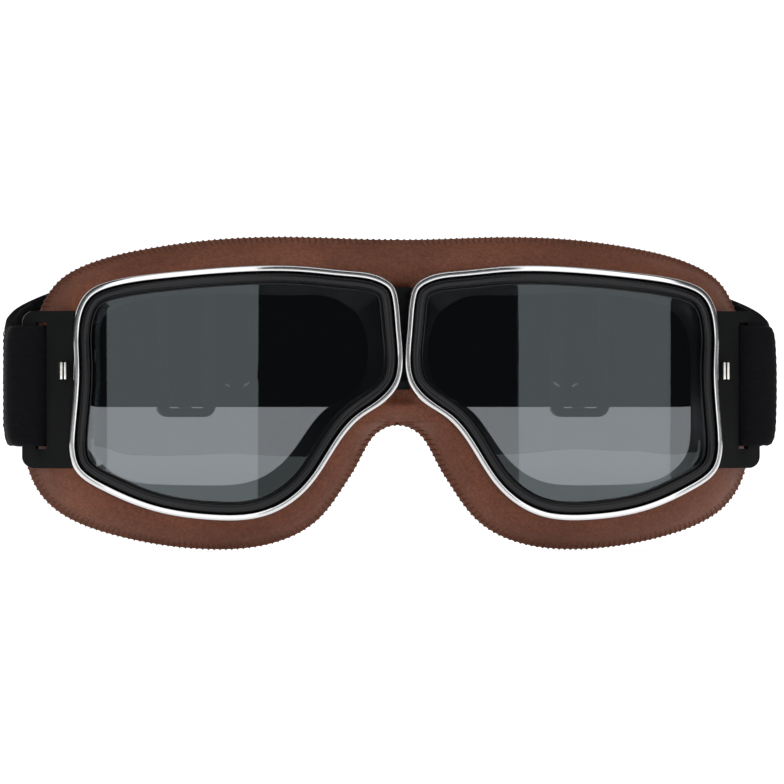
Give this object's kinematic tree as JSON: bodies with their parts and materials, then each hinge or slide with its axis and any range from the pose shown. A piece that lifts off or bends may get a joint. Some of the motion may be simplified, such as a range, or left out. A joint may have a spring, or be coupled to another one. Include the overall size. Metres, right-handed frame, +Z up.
{
  "type": "motorcycle goggles",
  "caption": "Aviator-style goggles: chrome-rimmed wrapped lenses in a padded leather mask, folding at the nose, with a looped elastic strap and sliders.",
  "frame": {"origin": "middle of the face seat, on the midplane and at half the mask's height", "axes": "+Y towards the face, +X to the wearer's left, +Z up"},
  "size_m": [0.1978, 0.0559, 0.0794],
  "materials": {
    "chrome": "polished",
    "smoked_lens": "smoked, polished",
    "black_rubber": "smooth, semi-gloss",
    "foam": "open-cell foam",
    "brown_leather": "matte, waxed",
    "lining": "brushed knit",
    "tab_rubber": "smooth, matte",
    "elastic": "woven elastic, fuzzy",
    "slider_plastic": "moulded, fine grain"
  },
  "bodies": {
    "left_eye": {"left_rim": "chrome", "left_rim_clasp": "chrome", "left_lens": "smoked_lens", "left_lens_seal": "black_rubber", "left_eye_frame": "black_rubber", "left_cushion": "foam", "left_leather": "brown_leather", "left_face_lining": "lining", "left_side_tab": "tab_rubber", "left_strap_run": "elastic", "nose_bridge": "black_rubber", "strap_middle": "elastic"},
    "right_eye": {"right_rim": "chrome", "right_rim_clasp": "chrome", "right_lens": "smoked_lens", "right_lens_seal": "black_rubber", "right_eye_frame": "black_rubber", "right_cushion": "foam", "right_leather": "brown_leather", "right_face_lining": "lining", "right_side_tab": "tab_rubber", "right_strap_run": "elastic"},
    "left_strap_end": {"left_strap_loop": "elastic"},
    "right_strap_end": {"right_strap_loop": "elastic"},
    "left_slide": {"left_slider": "slider_plastic"},
    "right_slide": {"right_slider": "slider_plastic"}
  },
  "joints": [
    {"name": "bridge_hinge", "type": "hinge", "parent": "left_eye", "child": "right_eye", "pos_m": [0, -0.0087, 0.014], "axis": [0, 0, -1], "range_deg": [0, 20], "deforming": ["strap_middle"]},
    {"name": "left_strap_swing", "type": "hinge", "parent": "left_eye", "child": "left_strap_end", "pos_m": [0.0933, 0.01305, 0.002], "axis": [0, 0, -1], "range_deg": [0, 35]},
    {"name": "right_strap_swing", "type": "hinge", "parent": "right_eye", "child": "right_strap_end", "pos_m": [-0.0933, 0.01305, 0.002], "axis": [0, 0, 1], "range_deg": [0, 35]},
    {"name": "left_slider_travel", "type": "slide", "parent": "left_eye", "child": "left_slide", "axis": [1, 0, 0], "range_m": [-0.03, 0.016]},
    {"name": "right_slider_travel", "type": "slide", "parent": "right_eye", "child": "right_slide", "axis": [-1, 0, 0], "range_m": [-0.03, 0.016]}
  ]
}
